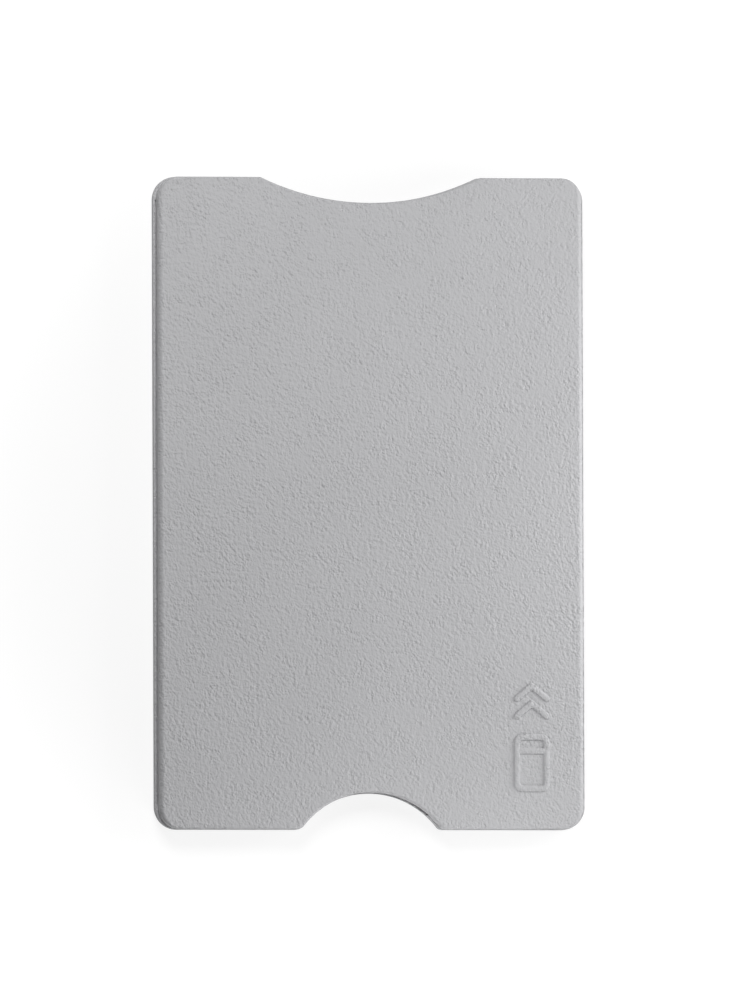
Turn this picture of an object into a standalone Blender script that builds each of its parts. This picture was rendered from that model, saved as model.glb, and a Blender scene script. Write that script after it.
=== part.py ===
"""Hard card case: two moulded half shells joined round the rim, a shielding insert inside each.

The case lies on its rear face. X runs across it, +Y towards the mouth where the card goes in,
and +Z out of the front face. The origin is the centre of the rear face. Lengths are in metres.
"""

import math

import bmesh
import bpy
from mathutils import Vector

# The bank card that the case is made for, and the room that it gets on each side
CARD_WIDTH = 0.05398
CARD_LENGTH = 0.08560
CARD_CORNER = 0.00318
CARD_EMBOSSED = 0.00120
CARD_SIDE_ROOM = 0.00040
CARD_END_ROOM = 0.00030
CARD_FACE_ROOM = 0.00020
CARD_SETBACK = 0.00210

# Walls round the card, and the outer corners
FACE_WALL = 0.00120
SIDE_WALL = 0.00261
END_WALL = 0.00200
OUTER_CORNER = 0.00320

# Finger notches: a wide shallow one at the mouth, a deep one at the closed end
GRIP_RADIUS = 0.03500
GRIP_DEPTH = 0.00350
THUMB_RADIUS = 0.01200
THUMB_DEPTH = 0.00500
NOTCH_BLEND = 0.00100

# Rounded outer edges, and the sloped inner edge of the mouth
SIDE_ROUND = 0.00075
END_ROUND = 0.00045
NOTCH_ROUND = 0.00075
REAR_ROUND = 0.00050
MOUTH_LEAD_IN = 0.00030

# Joint round the rim: the front shell's tongue sits in the rear shell's groove
PARTING_GAP = 0.00010
PARTING_STEP = 0.00025
TONGUE_WIDTH = 0.00060
TONGUE_HEIGHT = 0.00050
TONGUE_ROOM = 0.00008
TONGUE_TO_MOUTH = 0.00300
TONGUE_TO_NOTCH = 0.00100

# Low swellings of the pocket's sides, which hold the card by friction
GRIP_BUMP_HEIGHT = 0.00030
GRIP_BUMP_LENGTH = 0.00800
GRIP_BUMP_SPACING = 0.05000

# Shielding insert: adhesive, foil and wear film, laid in a recess of the shell
ADHESIVE_THICKNESS = 0.00005
FOIL_THICKNESS = 0.00005
FILM_THICKNESS = 0.00005
LAYER_GAP = 0.00002
INSERT_SIDE_MARGIN = 0.00100
INSERT_MOUTH_MARGIN = 0.00200
INSERT_NOTCH_MARGIN = 0.00200
INSERT_CORNER = 0.00300
INSERT_BLEND = 0.00150
RECESS_ROOM = 0.00020

# Raised mark on the front: a card outline with a stripe, and chevrons towards the mouth
MARK_WIDTH = 0.00500
MARK_STROKE = 0.00085
MARK_RELIEF = 0.00025
MARK_EDGE = 0.00010
MARK_TO_SIDE = 0.00520
MARK_TO_END = 0.00520
MARK_ROOT = 0.00030
MARK_CORNER = 0.00110
MARK_INNER_CORNER = 0.00040
STRIPE_DROP = 0.00190
CHEVRON_COUNT = 2
CHEVRON_PITCH = 0.00240
CHEVRON_RISE = 0.00210
CHEVRON_TO_CARD = 0.00160

# Largest shares of a blend's radius or a window's half width that a rounding takes, so that it never folds
ROUND_LIMIT = 0.9
LEAD_IN_LIMIT = 0.5
LEAD_IN_PAST = 0.3

# How finely the round parts are cut, and how far a tool runs past what it cuts
CORNER_STEPS = 8
NOTCH_STEPS = 22
BLEND_STEPS = 4
ROUND_STEPS = 5
BUMP_STEPS = 6
OVERRUN = 0.00050

# Sizes that follow from the card and the walls
POCKET_HALF = CARD_WIDTH / 2 + CARD_SIDE_ROOM
HALF_WIDTH = POCKET_HALF + SIDE_WALL
LENGTH = END_WALL + CARD_END_ROOM + CARD_LENGTH + CARD_SETBACK
LOW_END = -LENGTH / 2
HIGH_END = LENGTH / 2
POCKET_END = LOW_END + END_WALL
REAR_FLOOR = FACE_WALL
FRONT_CEILING = FACE_WALL + CARD_EMBOSSED + 2 * CARD_FACE_ROOM
THICKNESS = FRONT_CEILING + FACE_WALL
REAR_PARTING = (THICKNESS - PARTING_GAP) / 2
FRONT_PARTING = (THICKNESS + PARTING_GAP) / 2
RECESS_DEPTH = ADHESIVE_THICKNESS + FOIL_THICKNESS + FILM_THICKNESS + 3 * LAYER_GAP


def material(name, colour, roughness, metallic):
    """A plain Principled material."""
    made = bpy.data.materials.new(name)
    made.use_nodes = True
    shader = made.node_tree.nodes["Principled BSDF"]
    shader.inputs["Base Color"].default_value = (*colour, 1)
    shader.inputs["Roughness"].default_value = roughness
    shader.inputs["Metallic"].default_value = metallic
    return made


def solid_of_loops(name, loops, finish=None):
    """A body whose skin runs through loops of equal length, with a flat cap at each end."""
    mesh = bmesh.new()
    rings = [[mesh.verts.new(point) for point in loop] for loop in loops]
    mesh.faces.new(rings[0])
    mesh.faces.new(rings[-1])
    for lower, upper in zip(rings, rings[1:]):
        for i in range(len(lower)):
            mesh.faces.new((lower[i - 1], lower[i], upper[i], upper[i - 1]))
    bmesh.ops.recalc_face_normals(mesh, faces=mesh.faces)
    data = bpy.data.meshes.new(name)
    mesh.to_mesh(data)
    mesh.free()
    data.shade_smooth()
    data.set_sharp_from_angle(angle=math.radians(30))
    made = bpy.data.objects.new(name, data)
    bpy.context.collection.objects.link(made)
    if finish:
        data.materials.append(finish)
    return made


def prism(name, outline, low, high, finish=None):
    """An outline in X and Y, drawn out from one height to another."""
    return solid_of_loops(name, [[(x, y, height) for x, y in outline] for height in (low, high)], finish)


def use_tool(body, tool, operation):
    """Cuts a tool from a body, or joins it on."""
    tool.hide_render = True
    tool.display_type = "WIRE"
    change = body.modifiers.new(tool.name, "BOOLEAN")
    change.operation = operation
    change.solver = "EXACT"
    change.object = tool


def arc(centre, radius, start, end, steps, rounds=(0, 0), hollow=False):
    """Points along a round stretch of a rim, each as (point, outward direction, edge rounding).

    The rounding eases from the first of rounds to the second by half a cosine wave.
    """
    points = []
    for step in range(steps + 1):
        share = step / steps
        angle = math.radians(start + (end - start) * share)
        spoke = Vector((math.cos(angle), math.sin(angle)))
        eased = (1 - math.cos(math.pi * share)) / 2
        rounding = rounds[0] + (rounds[1] - rounds[0]) * eased
        points.append((centre + radius * spoke, -spoke if hollow else spoke, rounding))
    return points


def notch_reach(radius, depth, blend):
    """How far from the middle a notch's blend meets the straight edge."""
    return math.sqrt((radius + blend) ** 2 - (radius - depth + blend) ** 2)


def end_rim(half_width, corner, notch, rounds):
    """One end of a rim from left to right, with its edge on y = 0 and the material above it.

    notch is (radius, depth, blend radius), and rounds the rounding at the (side, end, notch).
    """
    radius, depth, blend = notch
    side, end, inner = rounds
    reach = notch_reach(radius, depth, blend)
    turn = math.degrees(math.asin(reach / (radius + blend)))
    left_corner = Vector((corner - half_width, corner))
    right_corner = Vector((half_width - corner, corner))
    left_blend = Vector((-reach, blend))
    right_blend = Vector((reach, blend))
    notch_centre = Vector((0, depth - radius))
    return (
        arc(left_corner, corner, 180, 270, CORNER_STEPS, (side, end))
        + arc(left_blend, blend, 270, 270 + turn, BLEND_STEPS, (end, inner))
        + arc(notch_centre, radius, 90 + turn, 90 - turn, NOTCH_STEPS, (inner, inner), True)[1:-1]
        + arc(right_blend, blend, 270 - turn, 270, BLEND_STEPS, (inner, end))
        + arc(right_corner, corner, 270, 360, CORNER_STEPS, (end, side))
    )


def closed_end(half_width, low, corner, notch, rounds=(0, 0, 0)):
    """The rim's closed end, moved down to its place."""
    shift = Vector((0, low))
    rim = end_rim(half_width, corner, notch, rounds)
    return [(point + shift, outward, edge) for point, outward, edge in rim]


def mouth_end(half_width, high, corner, notch, rounds=(0, 0, 0)):
    """The rim's mouth end: an end turned by half a turn, so that it runs from right to left."""
    shift = Vector((0, high))
    rim = end_rim(half_width, corner, notch, rounds)
    return [(shift - point, -outward, edge) for point, outward, edge in rim]


def shell_block(name, inset, parting, face, rounds, finish):
    """A shell before its pocket is cut: wall up from the parting face, rounded edge, flat face.

    rounds is the rounding at the (side, end, notch), which the notch's blends limit.
    """
    side, end, inner = rounds
    rounds = (side, end, min(inner, ROUND_LIMIT * (NOTCH_BLEND - inset)))
    rim = closed_end(HALF_WIDTH, LOW_END, OUTER_CORNER, (THUMB_RADIUS, THUMB_DEPTH, NOTCH_BLEND), rounds)
    rim += mouth_end(HALF_WIDTH, HIGH_END, OUTER_CORNER, (GRIP_RADIUS, GRIP_DEPTH, NOTCH_BLEND), rounds)
    way = math.copysign(1, face - parting)
    loops = [[(*(point - inset * outward), parting) for point, outward, _ in rim]]
    for step in range(ROUND_STEPS + 1):
        angle = math.radians(90 * step / ROUND_STEPS)
        loop = []
        for point, outward, edge in rim:
            place = point - (inset + edge * (1 - math.cos(angle))) * outward
            loop.append((*place, face - way * edge * (1 - math.sin(angle))))
        loops.append(loop)
    return solid_of_loops(name, loops, finish)


def pocket_outline():
    """The card's pocket, open past the mouth, with two grip bumps on each side."""
    corner = Vector((POCKET_HALF - CARD_CORNER, POCKET_END + CARD_CORNER))
    outline = arc(corner, CARD_CORNER, 270, 360, CORNER_STEPS)
    radius = (GRIP_BUMP_LENGTH**2 / 4 + GRIP_BUMP_HEIGHT**2) / (2 * GRIP_BUMP_HEIGHT)
    turn = math.degrees(math.asin(GRIP_BUMP_LENGTH / 2 / radius))
    for place in (-GRIP_BUMP_SPACING / 2, GRIP_BUMP_SPACING / 2):
        centre = Vector((POCKET_HALF - GRIP_BUMP_HEIGHT + radius, place))
        outline += arc(centre, radius, 180 + turn, 180 - turn, BUMP_STEPS)
    right = [tuple(point) for point, _, _ in outline]
    right.append((POCKET_HALF, HIGH_END + OVERRUN))
    return right + [(-x, y) for x, y in reversed(right)]


def insert_outline(room):
    """The shielding insert, widened by room: inside the pocket, back from the mouth and both notches."""
    half_width = POCKET_HALF - GRIP_BUMP_HEIGHT - INSERT_SIDE_MARGIN + room
    low = POCKET_END + INSERT_SIDE_MARGIN - room
    high = HIGH_END - INSERT_MOUTH_MARGIN + room
    around = INSERT_NOTCH_MARGIN - room
    thumb_top = LOW_END + THUMB_DEPTH + around
    grip_foot = HIGH_END - GRIP_DEPTH - around
    thumb = (THUMB_RADIUS + around, thumb_top - low, INSERT_BLEND)
    grip = (GRIP_RADIUS + around, high - grip_foot, INSERT_BLEND)
    rim = closed_end(half_width, low, INSERT_CORNER, thumb)
    rim += mouth_end(half_width, high, INSERT_CORNER, grip)
    return [tuple(point) for point, _, _ in rim]


def tongue_outline(side, room):
    """The tongue down one side and round the corner to the thumb notch, widened by room."""
    inset = (min(SIDE_WALL, END_WALL) - TONGUE_WIDTH) / 2
    corner = Vector((HALF_WIDTH - OUTER_CORNER, LOW_END + OUTER_CORNER))
    bend = arc(corner, OUTER_CORNER, 360, 270, CORNER_STEPS)
    mouth_stop = HIGH_END - TONGUE_TO_MOUTH + room
    notch_stop = notch_reach(THUMB_RADIUS, THUMB_DEPTH, NOTCH_BLEND) + TONGUE_TO_NOTCH - room
    edges = []
    for depth in (inset - room, inset + TONGUE_WIDTH + room):
        curve = [tuple(point - depth * outward) for point, outward, _ in bend]
        edges.append([(HALF_WIDTH - depth, mouth_stop), *curve, (notch_stop, LOW_END + depth)])
    return [(side * x, y) for x, y in edges[0] + edges[1][::-1]]


def lead_in(name, inset, level, way):
    """A three-sided bar that slopes the mouth's inner edge, so that a card finds its way in.

    level is the height of the pocket's face, and way is 1 or -1, from that face into the wall.
    The bar bends midway along each short stretch of the rim, so that its edges cross plain wall.
    """
    slope = min(MOUTH_LEAD_IN, LEAD_IN_LIMIT * (NOTCH_BLEND - inset))
    past = LEAD_IN_PAST * (NOTCH_BLEND - inset)
    profile = ((-slope - past, -past), (past, slope + past), (past, -past))
    notch = (GRIP_RADIUS, GRIP_DEPTH, NOTCH_BLEND)
    rim = mouth_end(HALF_WIDTH, HIGH_END, OUTER_CORNER, notch)[CORNER_STEPS + 1 : -CORNER_STEPS - 1]
    reach = min(POCKET_HALF, HALF_WIDTH - OUTER_CORNER) - slope
    path = [(Vector((reach, HIGH_END)), Vector((0, 1)))]
    for (point, outward, _), (after, onward, _) in zip(rim, rim[1:]):
        path.append(((point + after) / 2, (outward + onward).normalized()))
    path.append((Vector((-reach, HIGH_END)), Vector((0, 1))))
    loops = []
    for point, outward in path:
        loops.append([(*(point + (out - inset) * outward), level + way * deep) for out, deep in profile])
    return solid_of_loops(name, loops)


def round_box(half_width, half_length, corner, centre):
    """The outline of a box with round corners."""
    outline = []
    for turn, (x, y) in enumerate(((1, 1), (-1, 1), (-1, -1), (1, -1))):
        middle = centre + Vector((x * (half_width - corner), y * (half_length - corner)))
        outline += arc(middle, corner, 90 * turn, 90 * turn + 90, BLEND_STEPS)
    return [tuple(point) for point, _, _ in outline]


def raised_mark(shell):
    """Joins the mark onto the front shell, its strokes softened along their edges."""
    low = THICKNESS - MARK_ROOT
    high = THICKNESS + MARK_RELIEF
    half_width = MARK_WIDTH / 2
    half_length = half_width * CARD_LENGTH / CARD_WIDTH
    middle = Vector((HALF_WIDTH - MARK_TO_SIDE - half_width, LOW_END + MARK_TO_END + half_length))
    card = prism("mark_card", round_box(half_width, half_length, MARK_CORNER, middle), low, high)
    stripe_top = half_length - STRIPE_DROP
    windows = {
        "above": (stripe_top, half_length - MARK_STROKE),
        "below": (MARK_STROKE - half_length, stripe_top - MARK_STROKE),
    }
    for place, (foot, top) in windows.items():
        half = (half_width - MARK_STROKE, (top - foot) / 2)
        corner = min(MARK_INNER_CORNER, ROUND_LIMIT * min(half))
        outline = round_box(*half, corner, middle + Vector((0, (top + foot) / 2)))
        window = prism(f"mark_window_{place}", outline, low - OVERRUN, high + OVERRUN)
        use_tool(card, window, "DIFFERENCE")
    tools = [card]
    deep = MARK_STROKE * math.hypot(1, CHEVRON_RISE / half_width)
    for count in range(CHEVRON_COUNT):
        foot = middle.y + half_length + CHEVRON_TO_CARD + count * CHEVRON_PITCH
        chevron = [
            (middle.x - half_width, foot),
            (middle.x, foot + CHEVRON_RISE),
            (middle.x + half_width, foot),
            (middle.x + half_width, foot + deep),
            (middle.x, foot + CHEVRON_RISE + deep),
            (middle.x - half_width, foot + deep),
        ]
        tools.append(prism(f"mark_chevron_{count + 1}", chevron, low, high))
    for tool in tools:
        bevel = tool.modifiers.new("soft_edge", "BEVEL")
        bevel.width = MARK_EDGE
        bevel.segments = 2
        bevel.limit_method = "ANGLE"
        bevel.angle_limit = math.radians(40)
        use_tool(shell, tool, "UNION")


def cut_pocket(shell, side, inset, floor, parting, way):
    """Cuts the card's pocket, the insert's recess and the sloped mouth edge into a shell."""
    near, far = sorted((floor, parting - way * OVERRUN))
    use_tool(shell, prism(f"{side}_pocket", pocket_outline(), near, far), "DIFFERENCE")
    near, far = sorted((floor + way * RECESS_DEPTH, floor - way * OVERRUN))
    use_tool(shell, prism(f"{side}_recess", insert_outline(RECESS_ROOM), near, far), "DIFFERENCE")
    use_tool(shell, lead_in(f"{side}_lead_in", inset, floor, way), "DIFFERENCE")


def shielding_insert(side, floor, way):
    """Adhesive, foil and wear film of one shell, from the recess's face towards the card."""
    layers = (
        (f"{side}_shield_adhesive", ADHESIVE_THICKNESS, adhesive_film),
        (f"{side}_shield_foil", FOIL_THICKNESS, aluminium_foil),
        (f"{side}_wear_film", FILM_THICKNESS, polyester_film),
    )
    level = floor + way * RECESS_DEPTH
    for name, thickness, finish in layers:
        start = level - way * LAYER_GAP
        level = start - way * thickness
        low, high = sorted((start, level))
        prism(name, insert_outline(0), low, high, finish)


for old in list(bpy.data.objects):
    bpy.data.objects.remove(old, do_unlink=True)

silver_abs = material("silver_abs", (0.445, 0.451, 0.462), 0.55, 0.0)
adhesive_film = material("adhesive_film", (0.72, 0.66, 0.48), 0.45, 0.0)
aluminium_foil = material("aluminium_foil", (0.88, 0.89, 0.90), 0.28, 1.0)
polyester_film = material("polyester_film", (0.80, 0.84, 0.86), 0.15, 0.0)

# Rear shell, with a groove down each side for the tongues
rear_rounds = (SIDE_ROUND, REAR_ROUND, REAR_ROUND)
rear_shell = shell_block("rear_shell", 0, REAR_PARTING, 0, rear_rounds, silver_abs)
cut_pocket(rear_shell, "rear", 0, REAR_FLOOR, REAR_PARTING, -1)
tongue_tip = FRONT_PARTING - TONGUE_HEIGHT
groove_floor = tongue_tip - TONGUE_ROOM
for side_name, side_way in (("left", -1), ("right", 1)):
    groove = prism(f"groove_{side_name}", tongue_outline(side_way, TONGUE_ROOM), groove_floor, THICKNESS)
    use_tool(rear_shell, groove, "DIFFERENCE")

# Front shell, a step smaller all round, with the tongues and the raised mark
front_rounds = (SIDE_ROUND, END_ROUND, NOTCH_ROUND)
front_shell = shell_block("front_shell", PARTING_STEP, FRONT_PARTING, THICKNESS, front_rounds, silver_abs)
cut_pocket(front_shell, "front", PARTING_STEP, FRONT_CEILING, FRONT_PARTING, 1)
tongue_root = FRONT_PARTING + TONGUE_HEIGHT / 2
for side_name, side_way in (("left", -1), ("right", 1)):
    tongue = prism(f"tongue_{side_name}", tongue_outline(side_way, 0), tongue_tip, tongue_root)
    use_tool(front_shell, tongue, "UNION")
raised_mark(front_shell)

shielding_insert("rear", REAR_FLOOR, -1)
shielding_insert("front", FRONT_CEILING, 1)
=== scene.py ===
import math

import bmesh
import bpy
import numpy as np
from mathutils import Matrix, Vector


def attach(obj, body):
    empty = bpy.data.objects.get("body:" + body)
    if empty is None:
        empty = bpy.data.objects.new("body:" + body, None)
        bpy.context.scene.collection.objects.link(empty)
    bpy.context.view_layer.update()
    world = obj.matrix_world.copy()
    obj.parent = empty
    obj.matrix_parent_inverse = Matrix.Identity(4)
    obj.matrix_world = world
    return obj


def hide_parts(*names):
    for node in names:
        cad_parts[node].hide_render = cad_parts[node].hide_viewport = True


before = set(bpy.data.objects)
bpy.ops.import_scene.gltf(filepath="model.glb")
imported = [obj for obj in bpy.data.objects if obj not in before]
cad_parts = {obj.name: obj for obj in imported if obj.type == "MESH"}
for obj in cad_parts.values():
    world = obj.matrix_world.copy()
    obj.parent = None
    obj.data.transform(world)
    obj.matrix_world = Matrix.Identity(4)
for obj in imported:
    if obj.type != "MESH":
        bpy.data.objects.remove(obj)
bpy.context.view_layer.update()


# Front shell: the injection-moulded ABS half that faces the eye, silver-grey right through, with
# a fine leather-like grain that comes from the etched mould. Its long edges are well rounded, its
# ends and finger notches less so. Lengths are in millimetres, and one function turns them to metres.

MILLIMETRE = 0.001
HALF_WIDTH = 30.0
HALF_LENGTH = 45.0
CORNER = 3.2
BLEND = 1.0
THUMB_NOTCH = (12.0, 5.0)
GRIP_NOTCH = (35.0, 3.5)
FACE_WALL = 1.2
FRONT_CEILING = 2.8
FRONT_FACE = 4.0
FRONT_PARTING = 2.05
FRONT_INSETS = (0.4, 0.08, 0.08)
FRONT_ROUNDS = (0.65, 0.2, 0.3)
PARTING_ROUND = 0.05
FLAT_MARGIN = 0.02
SIDES = (("left", -1), ("right", 1))

# The steps of a rim's corner, of the blend beside a notch and of the whole notch, and of the round
# edges, and how far a cutting tool runs past what it cuts
RIM_STEPS = (20, 10, 72)
PARTING_STEPS = 3
EDGE_STEPS = 14
CORNER_STEPS = 16
BUMP_STEPS = 12
OVERRUN = 0.5

# The insert's recess. The tongue of the rim joint: its walls' depths in from the rim, its height, how
# far it reaches into the shell, the room round it, and where it stops short of the mouth and the notch
RECESS_DEPTH = 0.21
TONGUE_WALLS = (0.7, 1.3)
TONGUE_HEIGHT = 0.5
TONGUE_ROOT = 0.25
TONGUE_ROOM = 0.08
TONGUE_TO_MOUTH = 3.0
TONGUE_STOP = 11.247

# The surfaces that the shells' faces are given
GRAINED, SMOOTH, SATIN = 0, 1, 2


def arc(centre, radius, start, end, steps):
    """A round stretch: centre + radius * (cos a, sin a), with a in equal steps from start to end in
    degrees. It gives the points and their spokes."""
    angle = np.radians(np.linspace(start, end, steps + 1))
    spoke = np.stack([np.cos(angle), np.sin(angle)], axis=1)
    return np.asarray(centre) + radius * spoke, spoke


def straight(start, end, spacing=8.0, margin=0.05):
    """Points between two ends, close to each end and at equal shares between, both ends left out."""
    start, end = np.asarray(start, float), np.asarray(end, float)
    length = np.linalg.norm(end - start)
    between = np.linspace(0, 1, int(length / spacing) + 2)[1:-1]
    share = np.concatenate(([margin / length], between, [1 - margin / length]))
    return start + share[:, None] * (end - start)


def end_rim(half_width, corner, notch, rounds):
    """One end of a rim from left to right, with its edge on y = 0 and the material above it.

    A corner arc, the edge, a blend arc, the notch's arc, and the same again mirrored. The edge rounding
    eases from side to end round the corner, and from end to notch round the blend, by half a cosine wave.
    It gives points, outward directions and roundings.
    """
    radius, depth, blend = notch
    side, end, inner = rounds
    steps = RIM_STEPS
    reach = math.sqrt((radius + blend) ** 2 - (radius - depth + blend) ** 2)
    turn = math.degrees(math.asin(reach / (radius + blend)))
    ease_corner = (1 - np.cos(np.linspace(0, math.pi, steps[0] + 1))) / 2
    ease_blend = (1 - np.cos(np.linspace(0, math.pi, steps[1] + 1))) / 2
    bend, bend_out = arc((corner - half_width, corner), corner, 180, 270, steps[0])
    edge = straight((corner - half_width, 0), (-reach, 0))
    lip, lip_out = arc((-reach, blend), blend, 270, 270 + turn, steps[1])
    hollow, spoke = arc((0, depth - radius), radius, 90 + turn, 90, steps[2] // 2)
    points = np.concatenate([bend, edge, lip, hollow[1:]])
    outward = np.concatenate([bend_out, np.tile((0.0, -1.0), (len(edge), 1)), lip_out, -spoke[1:]])
    rounding = np.concatenate([
        side + (end - side) * ease_corner,
        np.full(len(edge), end),
        end + (inner - end) * ease_blend,
        np.full(len(hollow) - 1, inner),
    ])
    mirrored = np.array((-1.0, 1.0))
    points = np.concatenate([points, (points * mirrored)[-2::-1]])
    outward = np.concatenate([outward, (outward * mirrored)[-2::-1]])
    return points, outward, np.concatenate([rounding, rounding[-2::-1]])


def whole_rim(half_width, low, high, corner, thumb, grip, rounds=(0, 0, 0)):
    """A closed rim: the thumb notch's end, the right side, the mouth's end turned by half a turn, and the
    left side."""
    foot, foot_out, foot_round = end_rim(half_width, corner, thumb, rounds)
    head, head_out, head_round = end_rim(half_width, corner, grip, rounds)
    foot = foot + (0, low)
    head = (0, high) - head
    right = straight(foot[-1], head[0])
    left = straight(head[-1], foot[0])
    points = np.concatenate([foot, right, head, left])
    outward = np.concatenate([
        foot_out,
        np.tile((1.0, 0.0), (len(right), 1)),
        -head_out,
        np.tile((-1.0, 0.0), (len(left), 1)),
    ])
    rounding = np.concatenate([
        foot_round,
        np.full(len(right), rounds[0]),
        head_round,
        np.full(len(left), rounds[0]),
    ])
    return points, outward, rounding


def skin(name, rows, finish=GRAINED, cap_finish=SMOOTH):
    """A closed body through rows of points, shape (rows, points, 3), with a flat cap on the first row and
    on the last.

    Point j of row i is number i * points + j, and each quad joins two neighbours of a row to the next row.
    """
    count, length, _ = rows.shape
    number = np.arange(count * length).reshape(count, length)
    beside = np.roll(number, -1, axis=1)
    quads = np.stack([number[:-1], beside[:-1], beside[1:], number[1:]], axis=-1).reshape(-1, 4)
    caps = [number[0].tolist(), number[-1].tolist()]
    data = bpy.data.meshes.new(name)
    data.from_pydata((rows.reshape(-1, 3) * MILLIMETRE).tolist(), [], quads.tolist() + caps)
    index = np.full(len(quads) + 2, finish, np.int32)
    index[len(quads)] = cap_finish
    data.polygons.foreach_set("material_index", index)
    return put_in_scene(name, data)


def put_in_scene(name, data):
    """An object of a closed mesh, with its faces turned outwards."""
    mesh = bmesh.new()
    mesh.from_mesh(data)
    bmesh.ops.recalc_face_normals(mesh, faces=mesh.faces)
    mesh.to_mesh(data)
    mesh.free()
    made = bpy.data.objects.new(name, data)
    bpy.context.scene.collection.objects.link(made)
    return made


def at_heights(outlines, heights):
    """Outlines of shape (rows, points, 2), each lifted to its height."""
    outlines = np.asarray(outlines)
    lift = np.broadcast_to(np.asarray(heights, float).reshape(len(outlines), -1, 1), (*outlines.shape[:2], 1))
    return np.concatenate([outlines, lift], axis=2)


def half_shell(name, steps, parting, face, rounds):
    """A shell's solid block: each row is the rim moved in by an inset, at a height.

    From the parting face: a small quarter round, the upright wall, then the outer edge's quarter round,
    in by r * (1 - cos a) and short of the face by r * (1 - sin a), and a narrow flat ring that keeps
    the flat face's shading flat. steps are the insets of the whole shell at its (side, end, notch).
    """
    way = math.copysign(1, face - parting)
    shape = (HALF_WIDTH, -HALF_LENGTH, HALF_LENGTH, CORNER, (*THUMB_NOTCH, BLEND), (*GRIP_NOTCH, BLEND))
    rim, outward, rounding = whole_rim(*shape, rounds)
    step = whole_rim(*shape, steps)[2]
    small = np.radians(np.linspace(0, 90, PARTING_STEPS + 1))[:, None]
    large = np.radians(np.linspace(0, 90, EDGE_STEPS + 1))[:, None]
    insets = np.concatenate([
        PARTING_ROUND * (1 - np.sin(small)) * np.ones_like(rounding),
        rounding * (1 - np.cos(large)),
        (rounding + FLAT_MARGIN)[None],
    ])
    heights = np.concatenate([
        parting + way * PARTING_ROUND * (1 - np.cos(small)) * np.ones_like(rounding),
        face - way * rounding * (1 - np.sin(large)),
        np.full((1, len(rim)), face),
    ])
    outlines = rim - (step + insets)[..., None] * outward
    return skin(name, at_heights(outlines, heights))


def reshape_body(body, changes):
    """Cuts closed tools from a body or joins them on, in the order given, and drops the tools."""
    for tool, operation in changes:
        change = body.modifiers.new(tool.name, "BOOLEAN")
        change.operation = operation
        change.solver = "EXACT"
        change.object = tool
    bpy.context.view_layer.update()
    shaped = bpy.data.meshes.new_from_object(body.evaluated_get(bpy.context.evaluated_depsgraph_get()))
    body.modifiers.clear()
    body.data = shaped
    for tool, _ in changes:
        bpy.data.objects.remove(tool, do_unlink=True)


def plate(name, outline, low, high, finish=SMOOTH):
    """An outline drawn straight up from one height to another."""
    return skin(name, at_heights([outline, outline], [low, high]), finish, finish)


def pocket_outline():
    """The card's pocket, run out past the mouth, with two long low bumps on each side that grip the card.

    A bump of height h and length l is an arc of radius (l * l / 4 + h * h) / (2 * h).
    """
    half, corner, low = 27.39, 3.18, -43.0
    height, length, place = 0.3, 8.0, 25.0
    radius = (length**2 / 4 + height**2) / (2 * height)
    turn = math.degrees(math.asin(length / 2 / radius))
    right = [arc((half - corner, low + corner), corner, 270, 360, CORNER_STEPS)[0]]
    for middle in (-place, place):
        right.append(arc((half - height + radius, middle), radius, 180 + turn, 180 - turn, BUMP_STEPS)[0])
    right.append([(half, HALF_LENGTH + OVERRUN)])
    right = np.concatenate(right)
    return np.concatenate([right, (right * (-1, 1))[::-1]])


def recess_outline():
    """The shallow recess that the shielding insert lies in, clear of the mouth and both notches."""
    half_width, low, high, corner = 26.29, -42.2, 43.2, 3.0
    thumb, grip = (13.8, 4.0, 1.5), (36.8, 3.5, 1.5)
    return whole_rim(half_width, low, high, corner, thumb, grip)[0]


def mouth_slope(name, inset, level, way):
    """A three-sided bar along the mouth that slopes its inner edge by 0.3 mm, so that a card finds its
    way in. It leaves out the rim's corners.

    The bar's own corners lie at fixed distances out from the rim and into the wall, at points midway
    between the rim's, and past is how far it runs on beyond the edge that it cuts.
    """
    points, outward, _ = end_rim(HALF_WIDTH, CORNER, (*GRIP_NOTCH, BLEND), (0, 0, 0))
    corner_points = RIM_STEPS[0] + 2
    inner = slice(corner_points, -corner_points)
    points, outward = points[inner], outward[inner]
    middle = (points[1:] + points[:-1]) / 2
    facing = outward[1:] + outward[:-1]
    facing = facing / np.linalg.norm(facing, axis=1)[:, None]
    middle = (0, HALF_LENGTH) - middle
    slope, past = 0.3, 0.264
    profile = np.array(((-slope - past, -past), (past, slope + past), (past, -past)))
    places = middle[:, None] - (profile[None, :, :1] - inset) * facing[:, None]
    heights = np.broadcast_to(level + way * profile[:, 1:], (*places.shape[:2], 1))
    return skin(name, np.concatenate([places, heights], axis=2), SMOOTH)


def tongue_outline(side, room):
    """The tongue of the rim joint, down one side and round the corner to the thumb notch, widened by room."""
    edges = []
    for depth in (TONGUE_WALLS[0] - room, TONGUE_WALLS[1] + room):
        bend = arc((HALF_WIDTH - CORNER, CORNER - HALF_LENGTH), CORNER - depth, 360, 270, CORNER_STEPS)[0]
        top = (HALF_WIDTH - depth, HALF_LENGTH - TONGUE_TO_MOUTH + room)
        stop = (TONGUE_STOP - room, depth - HALF_LENGTH)
        edges.append(np.concatenate([[top], bend, [stop]]))
    return np.concatenate([edges[0], edges[1][::-1]]) * (side, 1)


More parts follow.
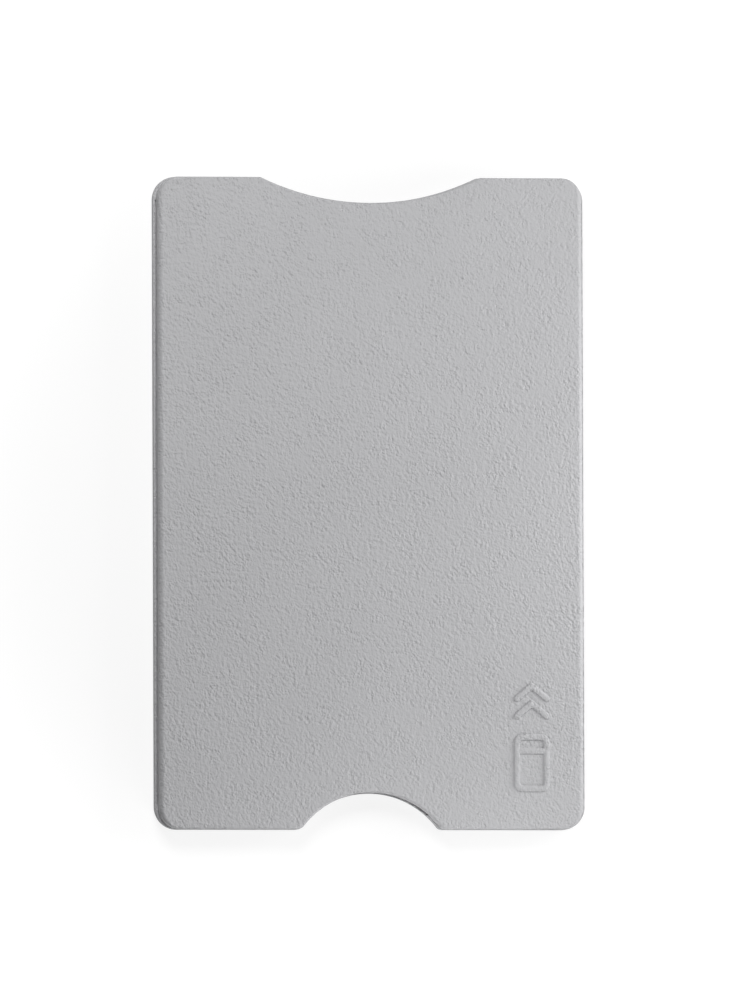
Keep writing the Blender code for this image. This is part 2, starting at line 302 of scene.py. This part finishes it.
front_shell = half_shell("card_case_front", FRONT_INSETS, FRONT_PARTING, FRONT_FACE, FRONT_ROUNDS)
front_cuts = [
    plate("front_pocket", pocket_outline(), FRONT_PARTING - OVERRUN, FRONT_CEILING),
    plate("front_recess", recess_outline(), FRONT_CEILING - OVERRUN, FRONT_CEILING + RECESS_DEPTH),
    mouth_slope("front_slope", FRONT_INSETS[1], FRONT_CEILING, 1),
]
tongue_heights = (FRONT_PARTING - TONGUE_HEIGHT, FRONT_PARTING + TONGUE_ROOT)
front_joins = [plate(f"{name}_tongue", tongue_outline(side, 0), *tongue_heights) for name, side in SIDES]


# Raised mark: part of the front shell's moulding, a card outline with a stripe and two chevrons that
# point to the mouth. Its strokes stand 0.25 mm proud, with soft edges and a smoother top. A stroke's
# corner is rounder than its soft edge is wide, so that the edge doesn't fold.

MARK_CENTRE = (22.3, -35.835)
MARK_HALF = (2.5, 3.965)
MARK_ROOT = 0.3
MARK_RELIEF = 0.25
STRIPE_RELIEF = 0.24
STROKE = 0.85
STROKE_DRAFT = 0.02
STROKE_FOOT = 0.1
STROKE_EDGE = 0.36
STROKE_CORNER = 0.4
FRAME_CORNERS = (1.1, 0.4)
STRIPE_DROP = 1.9
CHEVRON_GAP = 1.6
CHEVRON_PITCH = 2.4
CHEVRON_RISE = 2.1


def stroke_edge(low, top, steps=6):
    """Insets and heights of a soft edge: an upright foot, a little draft, then a quarter ellipse."""
    angle = np.radians(np.linspace(0, 90, steps + 1))
    insets = np.concatenate([[0, 0], STROKE_DRAFT + STROKE_EDGE * (1 - np.cos(angle))])
    curve = FRONT_FACE + STROKE_FOOT + (top - STROKE_FOOT) * np.sin(angle)
    heights = np.concatenate([[low, FRONT_FACE], curve])
    return insets, heights


def round_polygon(corners, radius, inset=0.0, steps=6):
    """A polygon with round corners, moved in by an inset.

    At each corner the centre of the round is r / (1 + n1.n2) * (n1 + n2) from it, inside a corner that
    sticks out and outside one that goes in. n1 and n2 are the outward normals of its two sides.
    """
    corners = np.asarray(corners, float)
    along = np.roll(corners, -1, axis=0) - corners
    along = along / np.linalg.norm(along, axis=1)[:, None]
    after = np.stack([along[:, 1], -along[:, 0]], axis=1)
    before = np.roll(after, 1, axis=0)
    cross = before[:, 0] * after[:, 1] - before[:, 1] * after[:, 0]
    dot = (before * after).sum(axis=1)
    sign = np.where(cross > 0, 1.0, -1.0)[:, None]
    centre = corners - sign * radius * (before + after) / (1 + dot)[:, None]
    sweep = np.arctan2(cross, dot)[:, None] * np.linspace(0, 1, steps + 1)
    angle = np.arctan2(before[:, 1], before[:, 0])[:, None] + sweep
    spoke = np.stack([np.cos(angle), np.sin(angle)], axis=2)
    return (centre[:, None] + (sign * radius)[:, None] * spoke - inset * spoke).reshape(-1, 2)


def box_corners(half_x, half_y, centre):
    """A box's corners, anticlockwise."""
    return np.array(((-1, -1), (1, -1), (1, 1), (-1, 1))) * (half_x, half_y) + centre


def stroke_plate(name, corners, radius, top):
    """A stroke of the mark: its outline drawn up through the soft edge."""
    insets, heights = stroke_edge(FRONT_FACE - MARK_ROOT, top)
    outlines = [round_polygon(corners, radius, inset) for inset in insets]
    return skin(name, at_heights(outlines, heights), SATIN, SATIN)


def stroke_frame(name, top):
    """The card's outline as one closed stroke: the soft edge goes up its outer side and down its inner."""
    insets, heights = stroke_edge(FRONT_FACE - MARK_ROOT, top)
    card = box_corners(*MARK_HALF, MARK_CENTRE)
    outer = [round_polygon(card, FRAME_CORNERS[0], inset) for inset in insets]
    hole = box_corners(MARK_HALF[0] - STROKE, MARK_HALF[1] - STROKE, MARK_CENTRE)
    inner = [round_polygon(hole, FRAME_CORNERS[1], -inset) for inset in insets]
    rows = at_heights(outer + inner[::-1], np.concatenate([heights, heights[::-1]]))
    count, length, _ = rows.shape
    number = np.arange(count * length).reshape(count, length)
    over, beside = np.roll(number, -1, axis=0), np.roll(number, -1, axis=1)
    quads = np.stack([number, beside, np.roll(over, -1, axis=1), over], axis=-1).reshape(-1, 4)
    data = bpy.data.meshes.new(name)
    data.from_pydata((rows.reshape(-1, 3) * MILLIMETRE).tolist(), [], quads.tolist())
    data.polygons.foreach_set("material_index", np.full(len(quads), SATIN, np.int32))
    return put_in_scene(name, data)


def chevron_corners(foot):
    """A chevron's corners, anticlockwise, with its legs one stroke wide measured across them."""
    middle, half, rise = MARK_CENTRE[0], MARK_HALF[0], CHEVRON_RISE
    deep = STROKE * math.hypot(1, rise / half)
    return [
        (middle - half, foot),
        (middle, foot + rise),
        (middle + half, foot),
        (middle + half, foot + deep),
        (middle, foot + rise + deep),
        (middle - half, foot + deep),
    ]


mark_top = MARK_CENTRE[1] + MARK_HALF[1]
stripe_middle = mark_top - STRIPE_DROP - STROKE / 2
stripe = box_corners(MARK_HALF[0] - STROKE / 2, STROKE / 2, (MARK_CENTRE[0], stripe_middle))
front_joins += [
    stroke_frame("mark_card", MARK_RELIEF),
    stroke_plate("mark_stripe", stripe, STROKE_CORNER, STRIPE_RELIEF),
]
for count in range(2):
    chevron = chevron_corners(mark_top + CHEVRON_GAP + count * CHEVRON_PITCH)
    front_joins.append(stroke_plate(f"mark_chevron_{count + 1}", chevron, STROKE_CORNER, MARK_RELIEF))
reshape_body(
    front_shell,
    [(tool, "DIFFERENCE") for tool in front_cuts] + [(tool, "UNION") for tool in front_joins],
)


# Rear shell: the same moulding's other half, plain behind, with the grooves that take the front
# shell's tongues. It stands out by a small step all round, which shows as a thin line of light, and a
# fine channel along the foot of the front shell's side walls shows as a thin dark line beside it.

REAR_PARTING = 1.95
REAR_ROUNDS = (0.75, 0.2, 0.3)
CHANNEL_WIDTH = 0.17
CHANNEL_DEPTH = 0.45
CHANNEL_UNDER = 0.1


def side_channel(side):
    """The fine channel in the rear shell's edge along the foot of the front shell's side wall."""
    inner = HALF_WIDTH - FRONT_INSETS[0] - CHANNEL_UNDER
    outer = HALF_WIDTH - FRONT_INSETS[0] + CHANNEL_WIDTH
    end = HALF_LENGTH - CORNER
    return np.array(((inner, -end), (outer, -end), (outer, end), (inner, end))) * (side, 1)


rear_shell = half_shell("card_case_rear", (0, 0, 0), REAR_PARTING, 0.0, REAR_ROUNDS)
rear_cuts = [
    plate("rear_pocket", pocket_outline(), FACE_WALL, REAR_PARTING + OVERRUN),
    plate("rear_recess", recess_outline(), FACE_WALL - RECESS_DEPTH, FACE_WALL + OVERRUN),
    mouth_slope("rear_slope", 0.0, FACE_WALL, -1),
]
groove_foot = FRONT_PARTING - TONGUE_HEIGHT - TONGUE_ROOM
for name, side in SIDES:
    rear_cuts.append(plate(f"{name}_groove", tongue_outline(side, TONGUE_ROOM), groove_foot, FRONT_FACE))
for name, side in SIDES:
    rear_cuts.append(plate(f"{name}_channel", side_channel(side), REAR_PARTING - CHANNEL_DEPTH, FRONT_FACE))
reshape_body(rear_shell, [(tool, "DIFFERENCE") for tool in rear_cuts])


# ABS of both shells, as it comes from an etched steel mould: silver-grey, dull, with shallow
# irregular pebbles about half a millimetre across and a few hundredths high that break up the light.
# They are deeper in some patches than in others. The inside, from a polished mould, is smoother.

SILVER = ("#b0b0b2", "#b6b6b8")
PEBBLES_PER_METRE = (2200.0, 1950.0, 2200.0)
PATCHES_PER_METRE = 600.0
TINTS_PER_METRE = 60.0


def linear(colour):
    """An sRGB hex colour as the linear colour that a shader takes."""
    part = np.array([int(colour[i : i + 2], 16) for i in (1, 3, 5)]) / 255
    return (*np.where(part <= 0.04045, part / 12.92, ((part + 0.055) / 1.055) ** 2.4), 1.0)


def add_node(tree, kind, links=None, **settings):
    """Adds a node. A setting named after an input sets that input, any other sets the node's own property,
    and links are (from socket, to input)."""
    node = tree.nodes.new(kind)
    for name, value in settings.items():
        setattr(node, name, value)
    for target, source in (links or {}).items():
        if isinstance(source, bpy.types.NodeSocket):
            tree.links.new(source, node.inputs[target])
        else:
            node.inputs[target].default_value = source
    return node


def new_material(name):
    """An empty node material, with its tree and its output."""
    made = bpy.data.materials.new(name)
    made.use_nodes = True
    made.node_tree.nodes.clear()
    return made, made.node_tree, made.node_tree.nodes.new("ShaderNodeOutputMaterial")


def moulded_abs(name, roughness, grain):
    """ABS from the mould. grain is the height in millimetres that the noise's whole swing from 0 to 1
    stands for. It uses about a third of that, and in patches half to one and a half times as much."""
    made, tree, output = new_material(name)
    place = add_node(tree, "ShaderNodeTexCoord").outputs["Object"]
    flow = add_node(
        tree, "ShaderNodeTexNoise",
        {"Vector": place, "Scale": TINTS_PER_METRE, "Detail": 2.0, "Roughness": 0.5},
    )
    tint = add_node(
        tree, "ShaderNodeMix",
        {0: flow.outputs["Fac"], 6: linear(SILVER[0]), 7: linear(SILVER[1])},
        data_type="RGBA",
    )
    shader = add_node(
        tree, "ShaderNodeBsdfPrincipled",
        {"Base Color": tint.outputs[2], "Roughness": roughness, "IOR": 1.54, "Specular IOR Level": 0.35},
    )
    drawn = add_node(tree, "ShaderNodeMapping", {"Vector": place, "Scale": PEBBLES_PER_METRE})
    pebbles = add_node(
        tree, "ShaderNodeTexNoise",
        {"Vector": drawn.outputs[0], "Scale": 1.0, "Detail": 1.0, "Roughness": 0.8},
    )
    patches = add_node(
        tree, "ShaderNodeTexNoise", {"Vector": place, "Scale": PATCHES_PER_METRE, "Detail": 1.0}
    )
    depth = add_node(
        tree, "ShaderNodeMapRange",
        {"Value": patches.outputs["Fac"], "From Min": 0.3, "From Max": 0.7, "To Min": 0.5, "To Max": 1.5},
    )
    centred = add_node(tree, "ShaderNodeMath", {0: pebbles.outputs["Fac"], 1: 0.5}, operation="SUBTRACT")
    height = add_node(
        tree, "ShaderNodeMath", {0: centred.outputs[0], 1: depth.outputs[0]}, operation="MULTIPLY"
    )
    bump = add_node(
        tree, "ShaderNodeBump",
        {"Height": height.outputs[0], "Strength": 1.0, "Distance": grain * MILLIMETRE},
    )
    tree.links.new(bump.outputs["Normal"], shader.inputs["Normal"])
    tree.links.new(shader.outputs[0], output.inputs[0])
    return made


abs_finishes = [
    moulded_abs("etched_silver_abs", 0.55, 0.21),
    moulded_abs("polished_silver_abs", 0.35, 0.004),
    moulded_abs("satin_silver_abs", 0.42, 0.012),
]
for shell, node in ((front_shell, "front_shell"), (rear_shell, "rear_shell")):
    shell.data.materials.clear()
    for finish in abs_finishes:
        shell.data.materials.append(finish)
    shell.data.shade_smooth()
    shell.data.set_sharp_from_angle(angle=math.radians(25))
    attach(shell, "root")
    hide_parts(node)


# Shielding inserts: in each shell's recess lies a sheet of soft aluminium foil, bonded by a double-sided
# adhesive film, with a clear polyester film over it that the card slides on. All are cut flat from rolls,
# so they keep the shape of their solids, and their finishes come from how each sheet is made.


def rolled_foil(name):
    """Aluminium foil: bright metal with fine lines along the way it was rolled, and a few shallow dents
    from handling. The real lines are a few hundredths of a millimetre apart, drawn at 0.25 mm to show."""
    made, tree, output = new_material(name)
    place = add_node(tree, "ShaderNodeTexCoord").outputs["Object"]
    rolled = add_node(tree, "ShaderNodeMapping", {"Vector": place, "Scale": (4000.0, 40.0, 4000.0)})
    lines = add_node(tree, "ShaderNodeTexNoise", {"Vector": rolled.outputs[0], "Scale": 1.0, "Detail": 2.0})
    dents = add_node(tree, "ShaderNodeTexNoise", {"Vector": place, "Scale": 160.0, "Detail": 1.0})
    shade = add_node(
        tree, "ShaderNodeMix",
        {0: lines.outputs["Fac"], 6: linear("#d6d8db"), 7: linear("#eceded")},
        data_type="RGBA",
    )
    fine = add_node(
        tree, "ShaderNodeBump",
        {"Height": lines.outputs["Fac"], "Strength": 1.0, "Distance": 0.004 * MILLIMETRE},
    )
    bump = add_node(
        tree, "ShaderNodeBump",
        {
            "Height": dents.outputs["Fac"], "Strength": 1.0, "Distance": 0.25 * MILLIMETRE,
            "Normal": fine.outputs[0],
        },
    )
    shader = add_node(
        tree, "ShaderNodeBsdfPrincipled",
        {"Base Color": shade.outputs[2], "Metallic": 1.0, "Roughness": 0.24, "Normal": bump.outputs[0]},
    )
    tree.links.new(shader.outputs[0], output.inputs[0])
    return made


def coated_film(name, colour, mottle, roughness, ior, clear):
    """A thin plastic film: mottle is the size in millimetres of the cloudy patches in its coating, where it
    is a little duller, and clear is the share of light that it lets through."""
    made, tree, output = new_material(name)
    place = add_node(tree, "ShaderNodeTexCoord").outputs["Object"]
    cloud = add_node(
        tree, "ShaderNodeTexNoise", {"Vector": place, "Scale": 1 / (mottle * MILLIMETRE), "Detail": 3.0}
    )
    shade = add_node(
        tree, "ShaderNodeMix",
        {0: cloud.outputs["Fac"], 6: linear(colour[0]), 7: linear(colour[1])},
        data_type="RGBA",
    )
    dulled = add_node(
        tree, "ShaderNodeMapRange",
        {"Value": cloud.outputs["Fac"], "To Min": roughness[0], "To Max": roughness[1]},
    )
    bump = add_node(
        tree, "ShaderNodeBump",
        {"Height": cloud.outputs["Fac"], "Strength": 1.0, "Distance": 0.01 * MILLIMETRE},
    )
    shader = add_node(
        tree, "ShaderNodeBsdfPrincipled",
        {
            "Base Color": shade.outputs[2], "Roughness": dulled.outputs[0], "IOR": ior,
            "Transmission Weight": clear, "Normal": bump.outputs[0],
        },
    )
    tree.links.new(shader.outputs[0], output.inputs[0])
    return made


foil = rolled_foil("rolled_aluminium_foil")
adhesive = coated_film("acrylic_adhesive_film", ("#cbbf98", "#dcd2ae"), 1.2, (0.35, 0.55), 1.47, 0.0)
wear_film = coated_film("clear_polyester_film", ("#eef2f4", "#ffffff"), 4.0, (0.04, 0.14), 1.6, 1.0)
for side in ("front", "rear"):
    for insert, finish in (("shield_adhesive", adhesive), ("shield_foil", foil), ("wear_film", wear_film)):
        for material_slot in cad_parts[f"{side}_{insert}"].material_slots:
            material_slot.material = finish


# Floor and background: a plain pale sheet that the case lies on. To the eye and to reflections it glows just
# short of white near the case, so that the case's real soft shadow shows there. Away from the case the glow
# rises to full white, a painted brightening that makes up for the lamps' light falling off across the far
# floor.

FLOOR_REACH = 12.0
FLOOR_DROP = 0.00002
FLOOR_GLOW = 0.82
PAINTED_GLOW_REACH = (0.04, 0.09)
FILL = 0.03

floor_mesh = bpy.data.meshes.new("floor")
floor_corners = box_corners(FLOOR_REACH, FLOOR_REACH, (0, 0)).tolist()
floor_mesh.from_pydata([(x, y, -FLOOR_DROP) for x, y in floor_corners], [], [(0, 1, 2, 3)])
floor = bpy.data.objects.new("floor", floor_mesh)
bpy.context.scene.collection.objects.link(floor)


def seen_directly(tree):
    """1 for rays from the camera, from reflections and through clear pieces, 0 for light on the object."""
    path = add_node(tree, "ShaderNodeLightPath")
    both = add_node(
        tree, "ShaderNodeMath",
        {0: path.outputs["Is Camera Ray"], 1: path.outputs["Is Glossy Ray"]}, operation="MAXIMUM",
    )
    return add_node(
        tree, "ShaderNodeMath",
        {0: both.outputs[0], 1: path.outputs["Is Transmission Ray"]}, operation="MAXIMUM",
    ).outputs[0]


paper, tree, output = new_material("white_paper")
seen = seen_directly(tree)
place = add_node(tree, "ShaderNodeTexCoord").outputs["Object"]
away = add_node(tree, "ShaderNodeVectorMath", {0: place}, operation="LENGTH")
# Painted brightening: the floor's glow grows from FLOOR_GLOW near the case to full white away from it, in
# place of lamp light
whiten = add_node(
    tree, "ShaderNodeMapRange",
    {
        "Value": away.outputs["Value"], "From Min": PAINTED_GLOW_REACH[0], "From Max": PAINTED_GLOW_REACH[1],
        "To Min": FLOOR_GLOW, "To Max": 1.0,
    },
    interpolation_type="SMOOTHSTEP",
)
tone = add_node(
    tree, "ShaderNodeMix", {0: seen, 6: linear("#dcdcdc"), 7: linear("#797979")}, data_type="RGBA"
)
sheet = add_node(tree, "ShaderNodeBsdfDiffuse", {"Color": tone.outputs[2]})
shown = add_node(tree, "ShaderNodeMath", {0: seen, 1: whiten.outputs[0]}, operation="MULTIPLY")
glow = add_node(tree, "ShaderNodeEmission", {"Color": (1, 1, 1, 1), "Strength": shown.outputs[0]})
added = add_node(tree, "ShaderNodeAddShader", {0: sheet.outputs[0], 1: glow.outputs[0]})
tree.links.new(added.outputs[0], output.inputs[0])
floor_mesh.materials.append(paper)

world = bpy.data.worlds.new("studio")
bpy.context.scene.world = world
world.use_nodes = True
tree = world.node_tree
tree.nodes.clear()
fill = add_node(tree, "ShaderNodeBackground", {"Color": (1, 1, 1, 1), "Strength": FILL})
white = add_node(tree, "ShaderNodeBackground", {"Color": (1, 1, 1, 1), "Strength": 1.0})
mixed = add_node(
    tree, "ShaderNodeMixShader", {0: seen_directly(tree), 1: fill.outputs[0], 2: white.outputs[0]}
)
output = tree.nodes.new("ShaderNodeOutputWorld")
tree.links.new(mixed.outputs[0], output.inputs[0])


# Lamps: the main one stands above and beyond the mouth, a little to the left. One low at the right brings
# out the grain and the right-hand edge, and a small one low beyond the foot lightens the bottom edge.
# All are near, so that their light falls off across the case.


def soft_lamp(name, place, size, power):
    """A square lamp that faces the case, and that no camera sees."""
    light = bpy.data.lights.new(name, "AREA")
    light.size = size
    light.energy = power
    lamp = bpy.data.objects.new(name, light)
    place = Vector(place)
    lamp.matrix_world = Matrix.Translation(place) @ place.to_track_quat("Z", "Y").to_matrix().to_4x4()
    lamp.visible_camera = False
    bpy.context.scene.collection.objects.link(lamp)


soft_lamp("right_lamp", (0.13, 0.0, 0.05), 0.08, 0.16)
soft_lamp("high_lamp", (-0.06, 0.15, 0.24), 0.12, 0.6)
soft_lamp("foot_lamp", (0.01, -0.09, 0.025), 0.04, 0.023)


# Camera: a long lens straight above, a little to the left and below, as in the photograph, with the
# frame 137.9 mm high at the case. It stands near enough for the other views, whose far clip is 100
# times the case's radius.

TO_LEFT = math.radians(9.2)
BELOW = math.radians(2.4)
ROLL = math.radians(-0.2)
DISTANCE = 4.0
FRAME_HEIGHT = 0.1379
FRAME_OFFSET = (-0.00042, 0.00048)
MIDDLE = Vector((0.0, 0.0, 0.002))

towards = Vector((
    -math.sin(TO_LEFT) * math.cos(BELOW),
    -math.sin(BELOW),
    math.cos(TO_LEFT) * math.cos(BELOW),
))
right = Vector((0, 1, 0)).cross(towards).normalized()
up = towards.cross(right)
right, up = right * math.cos(ROLL) + up * math.sin(ROLL), up * math.cos(ROLL) - right * math.sin(ROLL)
lens = bpy.data.cameras.new("camera")
lens.sensor_fit = "VERTICAL"
lens.sensor_height = 36.0
lens.lens = lens.sensor_height * DISTANCE / FRAME_HEIGHT
lens.clip_end = 30.0
camera = bpy.data.objects.new("camera", lens)
aim = MIDDLE + right * FRAME_OFFSET[0] + up * FRAME_OFFSET[1]
turned = Matrix((right, up, towards)).transposed().to_4x4()
camera.matrix_world = Matrix.Translation(aim + towards * DISTANCE) @ turned
bpy.context.scene.collection.objects.link(camera)
bpy.context.scene.camera = camera
bpy.context.scene.view_settings.view_transform = "Standard"
